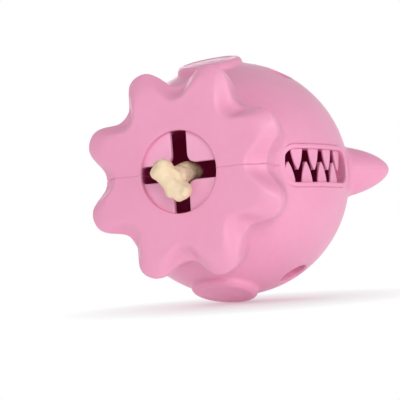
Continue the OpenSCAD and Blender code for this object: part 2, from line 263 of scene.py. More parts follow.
def deselect():
    if bpy.context.object and bpy.context.object.mode != "OBJECT":
        bpy.ops.object.mode_set(mode="OBJECT")
    bpy.ops.object.select_all(action="DESELECT")


def named(name):
    """The object that was just added, under its own name."""
    piece = bpy.context.object
    piece.name = name
    piece.data.name = name
    return piece


def ring_of(name, points):
    """Adds a circle with one vertex for each point, and leaves it in edit mode on those points."""
    deselect()
    bpy.ops.mesh.primitive_circle_add(vertices=len(points))
    piece = named(name)
    bpy.ops.object.mode_set(mode="EDIT")
    mesh = bmesh.from_edit_mesh(piece.data)
    order = mesh.verts.layers.int.new("order")
    mesh.verts.ensure_lookup_table()
    for i, vert in enumerate(mesh.verts):
        vert[order] = i
        vert.co = points[i]
    bmesh.update_edit_mesh(piece.data)
    return piece


def tidy(piece, merge=1e-7):
    """Merges what meets, turns the faces outwards and leaves edit mode."""
    bpy.ops.mesh.select_all(action="SELECT")
    bpy.ops.mesh.remove_doubles(threshold=merge)
    bpy.ops.mesh.normals_make_consistent(inside=False)
    bpy.ops.object.mode_set(mode="OBJECT")
    if "order" in piece.data.attributes:
        piece.data.attributes.remove(piece.data.attributes["order"])
    return piece


def loft(name, rings, closed=False):
    """Extrudes a ring from place to place, and caps its ends or joins the last ring to the first."""
    piece = ring_of(name, rings[0])
    if not closed:
        bpy.ops.mesh.edge_face_add()
    for ring in rings[1:] + ([rings[0]] if closed else []):
        bpy.ops.mesh.extrude_region_move()
        mesh = bmesh.from_edit_mesh(piece.data)
        order = mesh.verts.layers.int["order"]
        for vert in mesh.verts:
            if vert.select:
                vert.co = ring[vert[order]]
        bmesh.update_edit_mesh(piece.data)
    return tidy(piece)


def spun(name, profile, axis, steps, closed=False):
    """Spins a profile of radius and height about an axis through the ball's centre."""
    side = axis.orthogonal().normalized()
    piece = ring_of(name, [CENTRE + axis * z + side * r for r, z in profile])
    if not closed:
        mesh = bmesh.from_edit_mesh(piece.data)
        mesh.verts.ensure_lookup_table()
        ends = {mesh.verts[0], mesh.verts[len(profile) - 1]}
        for edge in mesh.edges:
            edge.select = set(edge.verts) == ends
        mesh.select_flush_mode()
        bmesh.update_edit_mesh(piece.data)
        bpy.ops.mesh.delete(type="EDGE")
    bpy.ops.mesh.select_all(action="SELECT")
    bpy.ops.mesh.spin(steps=steps, angle=FULL_TURN, center=CENTRE, axis=axis)
    return tidy(piece)


def section(half_w, half_t, r, steps, along):
    """A rectangle with round corners, as points across and out, with the same count whatever its size."""
    r = min(r, half_w * 0.98, half_t * 0.98)
    points = []
    for k, (sx, sy) in enumerate(((1, 1), (-1, 1), (-1, -1), (1, -1))):
        corner = arc((sx * (half_w - r), sy * (half_t - r)), r, 90 * k, 90 * k + 90, steps)
        points += corner
        if k % 2 == 0:
            end = (-sx * (half_w - r), corner[-1][1])
            points += [
                (corner[-1][0] + (end[0] - corner[-1][0]) * i / along, corner[-1][1]) for i in range(1, along)
            ]
    return points


def apply(piece, kind, **settings):
    """Adds a modifier to a piece and applies it."""
    deselect()
    piece.select_set(True)
    bpy.context.view_layer.objects.active = piece
    modifier = piece.modifiers.new(kind.title(), kind)
    for key, value in settings.items():
        setattr(modifier, key, value)
    bpy.ops.object.modifier_apply(modifier=modifier.name)


def carve(piece, cutter):
    """Cuts one solid out of another."""
    apply(piece, "BOOLEAN", operation="DIFFERENCE", object=cutter, solver="MANIFOLD")
    bpy.data.objects.remove(cutter)


def dress(piece, look, body=None, sharp=38):
    """Shades a finished piece, gives it its material, and sets what it rides on."""
    deselect()
    piece.select_set(True)
    bpy.context.view_layer.objects.active = piece
    bpy.ops.object.shade_smooth_by_angle(angle=math.radians(sharp))
    piece.data.materials.clear()
    piece.data.materials.append(look)
    if body:
        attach(piece, body)
    return piece


def sphere_z(radius, r):
    """Height of a sphere's surface at a distance from its axis."""
    return math.sqrt(max(radius * radius - r * r, 0))


# Materials


class Flow:
    """A node's output, with which shader maths is written as plain sums."""

    def __init__(self, look, socket):
        self.look = look
        self.socket = socket

    def __add__(self, other):
        return self.look.maths("ADD", self, other)

    def __radd__(self, other):
        return self.look.maths("ADD", other, self)

    def __sub__(self, other):
        return self.look.maths("SUBTRACT", self, other)

    def __rsub__(self, other):
        return self.look.maths("SUBTRACT", other, self)

    def __mul__(self, other):
        return self.look.maths("MULTIPLY", self, other)

    def __rmul__(self, other):
        return self.look.maths("MULTIPLY", other, self)

    def __truediv__(self, other):
        return self.look.maths("DIVIDE", self, other)

    def __abs__(self):
        return self.look.maths("ABSOLUTE", self)

    def held(self):
        """This value kept between 0 and 1."""
        return self.look.node("ShaderNodeClamp", {}, {0: self})

    def below(self, limit, soft):
        """A mask that is 0 from a limit up, and reaches 1 a soft width below it."""
        return ((limit - self) / soft).held()


class Look:
    """A material, or the world, and the nodes that are added to it."""

    def __init__(self, owner):
        owner.use_nodes = True
        self.tree = owner.node_tree
        self.tree.nodes.clear()

    def node(self, kind, settings=None, inputs=None, output=0):
        """Adds a node with its settings and the values or links of its sockets."""
        made = self.tree.nodes.new(kind)
        for key, value in (settings or {}).items():
            setattr(made, key, value)
        for key, value in (inputs or {}).items():
            if isinstance(value, Flow):
                self.tree.links.new(value.socket, made.inputs[key])
            else:
                made.inputs[key].default_value = value
        return Flow(self, made.outputs[output]) if made.outputs else made

    def maths(self, operation, *values):
        return self.node("ShaderNodeMath", {"operation": operation}, dict(enumerate(values)))

    def vector(self, operation, a, b=None, output="Value"):
        inputs = {0: a} if b is None else {0: a, 1: b}
        return self.node("ShaderNodeVectorMath", {"operation": operation}, inputs, output)

    def height(self, place, axis="Z"):
        """One of a place's three measures."""
        return self.node("ShaderNodeSeparateXYZ", {}, {0: place}, axis)

    def mix(self, amount, a, b):
        """Colour a, going to colour b as the amount goes to 1."""
        return self.node("ShaderNodeMix", {"data_type": "RGBA"}, {0: amount, 6: a, 7: b}, 2)

    def place(self):
        return self.node("ShaderNodeTexCoord", output="Object")

    def noise(self, place, scale, detail=2, roughness=0.5):
        return self.node(
            "ShaderNodeTexNoise", {}, {"Vector": place, "Scale": scale, "Detail": detail, "Roughness": roughness}
        )

    def surface(self, **sockets):
        """The shader itself, joined to the output."""
        shader = self.node("ShaderNodeBsdfPrincipled", {}, {k.replace("_", " "): v for k, v in sockets.items()})
        self.node("ShaderNodeOutputMaterial", {}, {"Surface": shader})


def mouth_shade(look, place, scene):
    """A mask of painted shade on the mouth's unlit wall, which starts behind the flaps and, in the arms of the cross,
    before them.
    """
    mouth = scene.mouth_sizes
    front = scene.collar_sizes.face - mouth.recess_depth
    off = look.vector("SUBTRACT", place, CENTRE, "Vector")
    from_axis = look.vector("LENGTH", look.vector("MULTIPLY", off, (1, 0, 1), "Vector"))
    out = look.vector("DOT_PRODUCT", off, OUT)
    beside = look.maths("MINIMUM", abs(look.height(off, "X")), abs(look.height(off, "Z")))
    arms = beside.below(mouth.gap / 2 - 0.1 * MM, 0.2 * MM) * out.below(front + 1 * MM, 0.8 * MM) * 0.85
    behind = out.below(front - 0.6 * MM, 3.5 * MM)
    within = from_axis.below(mouth.recess_r + 0.7 * MM, 0.4 * MM)
    before_centre = (out / (10 * MM)).held()
    return within * (behind + arms).held() * before_centre


def rubber_look(name, scene, seam, thin):
    """Satin moulded rubber: soft mottling, a fine skin, painted dark shade with a faint painted glow on the unlit
    inside and, on the ball, the mould seam's line and a dim pink painted glow on the walls of the slot and the holes;
    on the flaps, a paler pink painted as light.
    """
    looks, sizes = scene.looks, scene.ball_sizes
    material = bpy.data.materials.new(name)
    look = Look(material)
    place = look.place()
    cloud = look.noise(place, 55, 3)
    fleck = look.noise(place, 420, 2)
    skin = look.noise(place, 2600, 2)
    mottled = ((cloud - 0.5) * 0.9 + (fleck - 0.5) * 0.35 + 0.3).held()
    # On the flaps the mottling starts from the paler pink that is painted light
    pale, dark = (looks.rubber_painted_light, looks.rubber) if thin else (looks.rubber, looks.rubber_deep)
    tint = look.mix(mottled, tuple(pale), tuple(dark))
    depth = look.vector("DISTANCE", place, CENTRE)
    # Painted shade: the inside of the ball and the mouth's wall turn to the dark chamber colour
    chamber = depth.below(sizes.radius - sizes.wall + 2.2 * MM, 2 * MM)
    unlit = (chamber + mouth_shade(look, place, scene)).held()
    tint = look.mix(unlit, tint, tuple(looks.inside))
    # Painted glow: the painted shade also gives off a faint dark red light
    glow = look.mix(unlit, BLACK, tuple(looks.glow))
    # On the ball's rubber: the mould seam's line, and a painted pink glow below the skin
    if seam:
        line = (1 - abs(look.height(place) - CENTRE.z) / (sizes.seam_w * 0.6)).held() * 0.2
        tint = look.mix(line, tint, tuple(looks.seam))
        # Painted glow: below the skin, on the walls of the slot and the holes, the rubber gives off a dim pink light
        within = depth.below(sizes.radius - 0.8 * MM, 2 * MM) * (1 - unlit)
        glow = look.mix(within, glow, tuple(looks.through))
    relief = look.node("ShaderNodeBump", {}, {"Strength": 0.06, "Distance": 0.4 * MM, "Height": skin + fleck * 0.8})
    look.surface(
        Base_Color=tint,
        Roughness=(0.4 + (skin - 0.5) * 0.12 + (cloud - 0.5) * 0.14).held(),
        Normal=relief,
        Emission_Color=glow,
        Emission_Strength=1,
        Subsurface_Weight=0.12,
        Subsurface_Radius=(1.0, 0.35, 0.45),
        Subsurface_Scale=1.2 * MM,
        Specular_IOR_Level=0.44,
    )
    return material


def rubber(name, seam=False, thin=False):
    """The rubber of that name, which several pieces share, made at its first use."""
    return bpy.data.materials.get(name) or rubber_look(name, bpy.context.scene, seam, thin)


def biscuit_look(looks):
    """Baked biscuit: a pale dry crust with browner patches, pores and crumbs, browner still towards its inner end,
    partly as painted shade, and painted dark shade with a faint painted glow where it lies in the unlit ball.
    """
    material = bpy.data.materials.new("baked biscuit")
    look = Look(material)
    place = look.place()
    patch = look.noise(place, 130, 4, 0.6)
    grain = look.noise(place, 900, 3, 0.6)
    pores = look.node(
        "ShaderNodeTexVoronoi", {"feature": "SMOOTH_F1"}, {"Vector": place, "Scale": 620, "Smoothness": 0.4}
    )
    deep = look.vector("DISTANCE", place, CENTRE)
    # Browner towards the inner end: partly real browning, partly painted shade of the mouth
    inward = deep.below(46.2 * MM, 7 * MM)
    spots = (grain - 0.5) * (0.45 + inward * 1.4)
    browning_and_shade = ((patch - 0.52) * 1.1 + spots + inward * 0.7 + 0.04).held()
    tint = look.mix(browning_and_shade, tuple(looks.crust), tuple(looks.baked))
    # Painted shade and a faint painted glow on the biscuit's inner end, reaching further out at its top as if shaded by
    # the upper flap
    unlit = (deep - (look.height(place) - CENTRE.z) * 0.9).below(36.5 * MM, 3 * MM)
    tint = look.mix(unlit, tint, tuple(looks.inside))
    glow = look.mix(unlit, BLACK, tuple(looks.glow))
    pits = ((0.24 - pores) * 3.2).held()
    relief = look.node(
        "ShaderNodeBump",
        {},
        {"Strength": 0.45, "Distance": 0.5 * MM, "Height": grain * 0.7 + patch * 0.5 - pits * 0.6},
    )
    look.surface(
        Base_Color=tint,
        Roughness=(0.84 + (grain - 0.5) * 0.2).held(),
        Normal=relief,
        Emission_Color=glow,
        Emission_Strength=1,
        Specular_IOR_Level=0.25,
    )
    return material


# Pieces


class TREATBALL_OT_wall(bpy.types.Operator):
    """Model the hollow ball's wall with its mould seam, mouth, slot and side holes"""

    bl_idname = "treat_ball.wall"
    bl_label = "Ball wall"

    def execute(self, context):
        scene = context.scene
        sizes, slot = scene.ball_sizes, scene.slot_sizes
        inner = sizes.radius - sizes.wall
        deselect()
        bpy.ops.mesh.primitive_uv_sphere_add(segments=256, ring_count=128, radius=sizes.radius, location=CENTRE)
        wall = named("ball_wall")
        bpy.ops.object.transform_apply(location=True, rotation=True, scale=True)
        bpy.ops.object.mode_set(mode="EDIT")
        self.pick_level(wall)
        bpy.ops.mesh.bevel(offset=sizes.seam_w / 2, segments=2, profile=0.5, affect="EDGES")
        self.pick_level(wall)
        sunk = 1 - sizes.seam_depth / sizes.radius
        bpy.ops.transform.resize(value=(sunk, sunk, 1), center_override=CENTRE)
        bpy.ops.object.mode_set(mode="OBJECT")
        for cutter in self.cutters(sizes, slot, scene.mouth_sizes, inner):
            carve(wall, cutter)
        look = rubber("ball rubber", seam=True)
        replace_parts(dress(wall, look, "ball"), "upper_shell", "lower_shell")
        return {"FINISHED"}

    def pick_level(self, wall):
        """Selects what lies on the seam."""
        bpy.ops.mesh.select_mode(type="EDGE")
        bpy.ops.mesh.select_all(action="DESELECT")
        mesh = bmesh.from_edit_mesh(wall.data)
        for edge in mesh.edges:
            edge.select = all(abs(v.co.z - CENTRE.z) < 0.002 * MM for v in edge.verts)
        mesh.select_flush_mode()
        bmesh.update_edit_mesh(wall.data)

    def cutters(self, sizes, slot, mouth, inner):
        """The chamber, the mouth, the slot and the side holes, each hidden at its edge by a softer piece."""
        deselect()
        bpy.ops.mesh.primitive_uv_sphere_add(segments=128, ring_count=64, radius=inner, location=CENTRE)
        yield named("chamber_cutter")
        middle = (mouth.recess_r + mouth.sleeve_r) / 2
        near, far = sizes.radius * 0.5, sizes.radius * 1.2
        bar = [(0, near), (middle, near), (middle, far), (0, far)]
        yield spun("mouth_cutter", bar, OUT, 96)
        yield loft("slot_cutter", [slot_ring(slot, sizes, slot.lip_w * 1.24, r) for r in (near, far)])
        for side in (1, -1):
            wide = sizes.hole_r + sizes.hole_round * 0.5
            bar = [(0, near), (wide, near), (wide, far), (0, far)]
            yield spun("hole_cutter", bar, heading(sizes.hole_angle, side * sizes.hole_turn), 64)


def slot_ring(slot, sizes, margin, radius, rise=0):
    """Places round the slot's outline, grown by a margin, on a sphere and a rise that fades near the mouth."""
    half_x = sizes.radius * math.sin(slot.length / 2 / sizes.radius) + margin
    half_y = slot.width / 2 + margin
    near, far = slot.near_r + margin, slot.far_r + margin
    corners = []
    for k, (sx, sy, r) in enumerate(((1, 1, far), (-1, 1, near), (-1, -1, near), (1, -1, far))):
        corners.append(arc((sx * (half_x - r), sy * (half_y - r)), r, 90 * k, 90 * k + 90, 10))
    flat = []
    for k, corner in enumerate(corners):
        ahead = corners[(k + 1) % 4][0]
        steps = (26, 8)[k % 2]
        flat += corner
        flat += [tuple(p + (q - p) * i / steps for p, q in zip(corner[-1], ahead)) for i in range(1, steps)]
    ring = []
    for x, y in flat:
        raised = radius + rise * ease((x + half_x) / slot.lip_fade) * (1 + 0.6 * ease(2 * x / half_x - 1))
        z = math.sqrt(raised * raised - x * x - y * y)
        across = x * math.cos(slot.turn) + z * math.sin(slot.turn)
        out = z * math.cos(slot.turn) - x * math.sin(slot.turn)
        ring.append(spot(across, y, out))
    return ring


class TREATBALL_OT_slot_lip(bpy.types.Operator):
    """Model the raised lip and the walls of the slot"""

    bl_idname = "treat_ball.slot_lip"
    bl_label = "Slot lip"

    def execute(self, context):
        scene = context.scene
        sizes, slot = scene.ball_sizes, scene.slot_sizes
        skin, w, h = sizes.radius, slot.lip_w, slot.lip_h
        crease = [(w * 1.34, -0.3 * MM, 0), (w * 1.24, 0.01 * MM, 0), (w * 1.14, 0, -slot.crease), (w * 1.05, 0, 0)]
        raised = arc((w - h * 0.5, h * 0.5), h * 0.5, 10, 90, 4) + arc((h * 1.2, -h * 0.2), h * 1.2, 90, 180, 6)
        wall = [(0, -sizes.wall * t) for t in (0.25, 0.45, 0.65)]
        wall += arc((h, h - sizes.wall), h, 180, 270, 4)
        wall += [(w * 0.9, 0.1 * MM - sizes.wall), (w * 0.9, -sizes.wall * 0.5)]
        profile = crease + [(m, min(z, 0), max(z, 0)) for m, z in raised] + [(m, z, 0) for m, z in wall]
        rings = [slot_ring(slot, sizes, m, skin + z, rise) for m, z, rise in profile]
        lip = loft("slot_lip", rings, closed=True)
        dress(lip, rubber("ball rubber", seam=True), "ball")
        return {"FINISHED"}


class TREATBALL_OT_hole_rims(bpy.types.Operator):
    """Model the soft edges and the walls of the two side holes"""

    bl_idname = "treat_ball.hole_rims"
    bl_label = "Side hole rims"

    def execute(self, context):
        scene = context.scene
        sizes = scene.ball_sizes
        r, soft, inner = sizes.hole_r, sizes.hole_round, sizes.radius - sizes.wall
        skirt = r + soft * 1.6
        top = sphere_z(sizes.radius, r + soft)
        bottom = sphere_z(inner, r + soft)
        profile = [(skirt, sphere_z(sizes.radius, skirt) - 0.1 * MM)]
        profile += arc((r + soft, top - soft), soft, 82, 180, 8)
        profile += [(r, (top + bottom) / 2)]
        profile += arc((r + soft, bottom + soft), soft, 180, 270, 6)
        profile += [(skirt, bottom + 0.2 * MM), (skirt, (top + bottom) / 2)]
        look = rubber("ball rubber", seam=True)
        for name, side in (("upper_hole_rim", 1), ("lower_hole_rim", -1)):
            rim = spun(name, profile, heading(sizes.hole_angle, side * sizes.hole_turn), 72, closed=True)
            dress(rim, look, "ball")
        return {"FINISHED"}


class TREATBALL_OT_collar(bpy.types.Operator):
    """Model the lobed collar with its soft rim, its recess and the sleeve of the mouth"""

    bl_idname = "treat_ball.collar"
    bl_label = "Lobed collar"
    seam_from = 28.7 * MM  # height above which the mould seam marks the collar

    def execute(self, context):
        scene = context.scene
        sizes, collar, mouth = scene.ball_sizes, scene.collar_sizes, scene.mouth_sizes
        turns = self.turns(collar)
        columns = [self.profile(a, sizes, collar, mouth) for a in turns]
        seam = sizes.seam_w / 2
        rings = []
        for row in range(len(columns[0])):
            ring = []
            for a, column in zip(turns, columns):
                r, z = column[row]
                off = abs(r * math.sin(a))
                sunk = sizes.seam_depth * max(0, 1 - off / seam) if z > self.seam_from else 0
                ring.append(spot((r - sunk) * math.cos(a), r * math.sin(a), z - sunk))
            rings.append(ring)
        piece = loft("lobed_collar", rings, closed=True)
        look = rubber("ball rubber", seam=True)
        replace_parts(dress(piece, look, "ball"), "upper_collar", "lower_collar")
        return {"FINISHED"}

    def turns(self, collar):
        """Turns round the opening's axis, closer together beside the seam."""
        count = collar.lobes * 40
        turns = [FULL_TURN * i / count for i in range(count)]
        close = math.radians(0.5)
        return sorted(turns + [close, math.pi - close, math.pi + close, FULL_TURN - close])

    def profile(self, a, sizes, collar, mouth):
        """Radius and height round the collar's section at one turn."""
        plain = (1 - math.cos(collar.lobes * a)) / 2
        lobe = plain * (1 - collar.blunt) + ease(plain) * collar.blunt
        tip = collar.valley_r + (collar.tip_r - collar.valley_r) * lobe
        neck = collar.valley_r + (collar.foot_r - collar.valley_r) * lobe
        tip += collar.valley_w * (1 - lobe)
        face, edge, soft = collar.face, collar.edge, collar.rim_r
        wide = collar.rim_w + collar.lobe_w * lobe
        rim_z = face - collar.rim_drop - collar.dip * (1 - lobe)
        flat_from, flat_to = mouth.recess_r + edge, tip - wide
        inside = (mouth.sleeve_z, 34 * MM, 36.5 * MM, face - mouth.recess_depth)
        outline = [(mouth.recess_r, z) for z in inside]
        outline += arc((flat_from, face - edge), edge, 180, 90, 5)
        outline += [(flat_from + (flat_to - flat_from) * i / 6, face) for i in range(1, 7)]
        brink = (tip - soft, rim_z + soft)
        slope = Vector((brink[0] - flat_to - wide * 0.3, brink[1] - face)).normalized()
        bend = slope.lerp(Vector((1, 0)), collar.scoop * (1 - lobe)).normalized() * soft
        pull = 1 + (wide * 0.45 / soft - 1) * (1 - lobe)
        above = (brink[0] - bend.x * pull, brink[1] - bend.y * pull)
        below = (brink[0] + bend.x * 0.5, brink[1] + bend.y * 0.5)
        outline += sweep((flat_to, face), (flat_to + wide * 0.35, face), above, brink, 16)[1:]
        outline += sweep(brink, below, (tip, rim_z + soft * 0.5), (tip, rim_z), 6)[1:]
        far = neck + collar.flare
        far_z = sphere_z(sizes.radius, far)
        along = Vector((far_z, -far)) / sizes.radius * 3.2 * MM
        under = (tip, rim_z - (rim_z - far_z) * 0.45)
        outline += sweep((tip, rim_z), under, (far - along.x, far_z - along.y), (far, far_z), 16)[1:]
        past = far + TUCK
        past_z = sphere_z(sizes.radius, past)
        outline += [(past, past_z - 0.12 * MM), (past - 1 * MM, past_z - 2 * MM)]
        outline += [(mouth.sleeve_r, mouth.sleeve_z + 1.3 * MM), (mouth.sleeve_r - 1 * MM, mouth.sleeve_z)]
        return outline


class TREATBALL_OT_tail(bpy.types.Operator):
    """Model the pointed tail with its soft foot on the ball"""

    bl_idname = "treat_ball.tail"
    bl_label = "Tail"

    def execute(self, context):
        scene = context.scene
        sizes = scene.ball_sizes
        base = sphere_z(sizes.radius, sizes.tail_r)
        span = sizes.radius + sizes.tail_length - base
        start, last = 0.16, 0.9985

        def side(t):
            return sizes.tail_r * (1 - t**sizes.tail_bulge) ** sizes.tail_blunt, base + span * t

        far = sizes.tail_r + sizes.tail_foot
        far_z = sphere_z(sizes.radius, far)
        along = Vector((-far_z, far)) / sizes.radius
        join, ahead = side(start), side(start + 0.02)
        slope = Vector((ahead[0] - join[0], ahead[1] - join[1])).normalized()
        reach = sizes.tail_foot * 0.75
        past = far + TUCK
        low = base - 2.5 * MM
        profile = [(0, low), (far * 0.8, low), (past, sphere_z(sizes.radius, past) - 0.1 * MM)]
        profile += sweep(
            (far, far_z),
            (far + along.x * reach, far_z + along.y * reach),
            (join[0] - slope.x * reach, join[1] - slope.y * reach),
            join,
            12,
        )
        for i in range(1, 37):
            profile.append(side(start + (last - start) * math.sin(math.pi / 2 * i / 36)))
        profile.append((0, side(1)[1]))
        tail = spun("tail_horn", profile, heading(sizes.tail_angle, 0), 112)
        look = rubber("ball rubber", seam=True)
        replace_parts(dress(tail, look, "ball"), "tail")
        return {"FINISHED"}


class TREATBALL_OT_pads(bpy.types.Operator):
    """Model the two round pads with a rounded rim, a sunken disc and a soft foot"""

    bl_idname = "treat_ball.pads"
    bl_label = "Round pads"

    def execute(self, context):
        scene = context.scene
        sizes = scene.ball_sizes
        rim, ring = sizes.pad_rim_r, sizes.pad_r - sizes.pad_rim_r
        ring_z = sphere_z(sizes.radius + sizes.pad_h, ring) - rim
        floor_z = sizes.radius + sizes.pad_floor_h
        far = sizes.pad_r + sizes.pad_foot
        far_z = sphere_z(sizes.radius, far)
        along = Vector((-far_z, far)) / sizes.radius
        past = far + TUCK
        low = far_z - 1.5 * MM
        profile = [(0, low), (past - 1 * MM, low), (past, sphere_z(sizes.radius, past) - 0.1 * MM)]
        reach = sizes.pad_foot * 0.7
        profile += sweep(
            (far, far_z),
            (far + along.x * reach, far_z + along.y * reach),
            (sizes.pad_r, ring_z - reach * 0.6),
            (sizes.pad_r, ring_z),
            8,
        )
        profile += arc((ring, ring_z), rim, 0, 112, 14)[1:]
        inner = profile[-1]
        foot = (ring - rim * 2.2, floor_z)
        profile += sweep(
            inner, (inner[0] - rim * 0.5, inner[1] - rim * 0.2), (foot[0] + rim * 0.6, floor_z), foot, 8
        )[1:]
        profile += [(foot[0] * (1 - t), floor_z + 0.2 * MM * ease(t)) for t in (0.2, 0.4, 0.6, 0.8, 1)]
        look = rubber("ball rubber", seam=True)
        for name, node, turn in (("upper_round_pad", "upper_pad", 90), ("lower_round_pad", "lower_pad", -90)):
            pad = spun(name, profile, heading(sizes.pad_angle, math.radians(turn)), 112)
            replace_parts(dress(pad, look, "ball"), node)
        return {"FINISHED"}


def flap_middle(scene):
    """Distance of the flaps' middle plane from the ball's centre."""
    mouth = scene.mouth_sizes
    return scene.collar_sizes.face - mouth.recess_depth - mouth.thickness / 2


class TREATBALL_OT_flaps(bpy.types.Operator):
    """Model the four flaps of the mouth, reaching from the wall of the recess, where the real flaps bend"""

    bl_idname = "treat_ball.flaps"
    bl_label = "Flaps"

    def execute(self, context):
        scene = context.scene
        mouth = scene.mouth_sizes
        # The flaps' rubber is painted lighter, against the shade of the recess
        look = rubber("flap rubber", thin=True)
        middle = CENTRE + OUT * flap_middle(scene)
        for name, turn in FLAPS.items():
            turned = math.radians(turn)
            along = Vector((math.cos(turned), 0, math.sin(turned)))
            across = Vector((-math.sin(turned), 0, math.cos(turned)))
            rings = []
            for s, half in self.widths(mouth):
                flat = section(half, mouth.thickness / 2, mouth.edge, 4, 10)
                rings.append([middle + along * s + across * x + OUT * y for x, y in flat])
            flap = loft(name + "_rubber", rings)
            dress(flap, look)
            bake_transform(flap)
            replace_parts(flap, name)
        return {"FINISHED"}

    def widths(self, mouth):
        """Distance along the flap from the opening's axis, and the flap's half width there."""
        corner = mouth.gap / math.sqrt(2) + mouth.corner_r * math.sqrt(2)
        wall = mouth.recess_r + TUCK
        rows = []
        for turned in (8, 16, 24, 32, 39, 45):
            a = math.radians(turned)
            rows.append((corner - mouth.corner_r * math.cos(a), mouth.corner_r * math.sin(a)))
        half_gap = mouth.gap / 2
        meets = (half_gap + sphere_z(wall, half_gap)) / math.sqrt(2)
        first = rows[-1][0]
        for i in range(1, 15):
            s = first + (meets - first) * i / 14
            rows.append((s, s - mouth.gap / math.sqrt(2)))
        for i in range(1, 9):
            s = meets + (wall * 0.998 - meets) * math.sin(math.pi / 2 * i / 8)
            rows.append((s, sphere_z(wall, s)))
        return rows


def tooth_rings(slot, root, line, reach):
    """Sections of a tooth from inside the slot's wall to its rounded tip, flat in front and bellied behind."""
    out = line.cross(-reach)
    rows = [(s, slot.tooth_root / 2) for s in (-ROOT_IN, -ROOT_IN * 0.5, 0)]
    for i in range(1, 25):
        t = math.sin(math.pi / 2 * i / 24.3)
        rows.append((slot.tooth_length * t, slot.tooth_root / 2 * (1 - t**1.5) ** 0.72))
    rim = slot.tooth_t / 2 - slot.tooth_side
    rings = []
    for s, half in rows:
        ring = []
        for x, y in section(half, slot.tooth_t / 2, slot.tooth_edge, 4, 8):
            belly = 1 - 0.94 * (x / half) ** 2
            ring.append(root + reach * s + line * x + out * (y if y > rim else rim + (y - rim) * belly))
        rings.append(ring)
    return rings


class TREATBALL_OT_teeth(bpy.types.Operator):
    """Model the teeth of the slot, rooted in the slot's wall, where the real teeth bend, and the fixed tooth at the
    slot's end
    """

    bl_idname = "treat_ball.teeth"
    bl_label = "Teeth"

    def execute(self, context):
        scene = context.scene
        slot = scene.slot_sizes
        look = rubber("tooth rubber")
        for name in [n for n in JOINTS if "tooth" in n]:
            joint = JOINTS[name]
            root, line = Vector(joint["pos_m"]), Vector(joint["axis"])
            reach = -UP if "upper" in name else UP
            tooth = loft(name + "_rubber", tooth_rings(slot, root, line, reach))
            dress(tooth, look)
            half_bend = reach * slot.bend / 2
            root - half_bend * 0.6
            root + half_bend
            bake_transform(tooth)
            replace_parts(tooth, name)
        first = JOINTS["lower_tooth_1"]
        root, line = Vector(first["pos_m"]), Vector(first["axis"])
        back = Matrix.Rotation(-slot.pitch / scene.ball_sizes.radius, 3, UP)
        root = CENTRE + back @ (root - CENTRE)
        line = back @ line
        end = loft("end_tooth_rubber", tooth_rings(slot, root, line, UP))
        dress(end, look, "ball")
        return {"FINISHED"}


class TREATBALL_OT_biscuit(bpy.types.Operator):
    """Model the bone-shaped biscuit with a lumpy baked crust"""

    bl_idname = "treat_ball.biscuit"
    bl_label = "Biscuit"
    # Each row is one lump of a knob: its place out, across and along, and its radius, in knob radii
    first_knob = ((0, 0, 0, 0.94), (0.2, 0.42, 0.3, 0.6), (0.1, -0.4, 0.36, 0.62), (0.32, -0.1, -0.1, 0.68))
    second_knob = ((0, 0, 0, 0.92), (0.3, 0.36, 0.3, 0.6), (-0.35, -0.55, 0.3, 0.6), (0.2, -0.1, 0.1, 0.66))

    def execute(self, context):
        scene = context.scene
        sizes, middle = scene.biscuit_sizes, flap_middle(scene)
        turned = (
            Matrix.Rotation(sizes.lean_turn, 3, "Z")
            @ Matrix.Rotation(sizes.lean, 3, "Y")
            @ Matrix.Rotation(sizes.spin, 3, "Z")
        )

        def at(x, y, z):
            p = turned @ Vector((x, y, z))
            return spot(p.x + sizes.aside, p.y - sizes.sag, p.z + middle)

        inner, outer = sizes.out - sizes.span, sizes.out
        biscuit = self.bar(at(0, 0, inner), at(0, 0, outer), sizes.shaft_r)
        named("bone_biscuit")
        lumps = []
        half = sizes.knob_gap / 2
        knob = sizes.knob_r
        for z, ahead in ((inner, -1), (outer, 1)):
            aside = -0.22 * knob
            lumps.append(self.bar(at(-half, aside, z), at(half, aside, z), sizes.web_r))
            for side, shoulders in ((-1, self.first_knob), (1, self.second_knob)):
                for out, across, along, size in shoulders:
                    place = at(side * (half + out * knob), across * knob, z + ahead * along * knob)
                    deselect()
                    bpy.ops.mesh.primitive_ico_sphere_add(subdivisions=4, radius=size * knob, location=place)
                    lumps.append(bpy.context.object)
        for lump in lumps:
            lump.select_set(True)
        biscuit.select_set(True)
        bpy.context.view_layer.objects.active = biscuit
        bpy.ops.object.join()
        bpy.ops.object.transform_apply(location=True, rotation=True, scale=True)
        apply(biscuit, "REMESH", mode="VOXEL", voxel_size=0.35 * MM)
        apply(biscuit, "SMOOTH", factor=0.5, iterations=8)
        for name, grain, height in (("baked lumps", 3.4 * MM, sizes.lump), ("baked crumbs", 1.1 * MM, sizes.crumb)):
            texture = bpy.data.textures.new(name, "CLOUDS")
            texture.noise_scale = grain
            apply(biscuit, "DISPLACE", texture=texture, texture_coords="LOCAL", strength=height, mid_level=0.62)
        apply(biscuit, "SMOOTH", factor=0.5, iterations=2)
        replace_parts(dress(biscuit, biscuit_look(scene.looks), "biscuit", 180), "biscuit")
        return {"FINISHED"}

    def bar(self, start, end, radius):
        """Adds a round bar from one place to another."""
        deselect()
        bpy.ops.mesh.primitive_cylinder_add(
            vertices=48,
            radius=radius,
            depth=(end - start).length,
            location=(start + end) / 2,
            rotation=(end - start).to_track_quat("Z", "Y").to_euler(),
        )
        return bpy.context.object


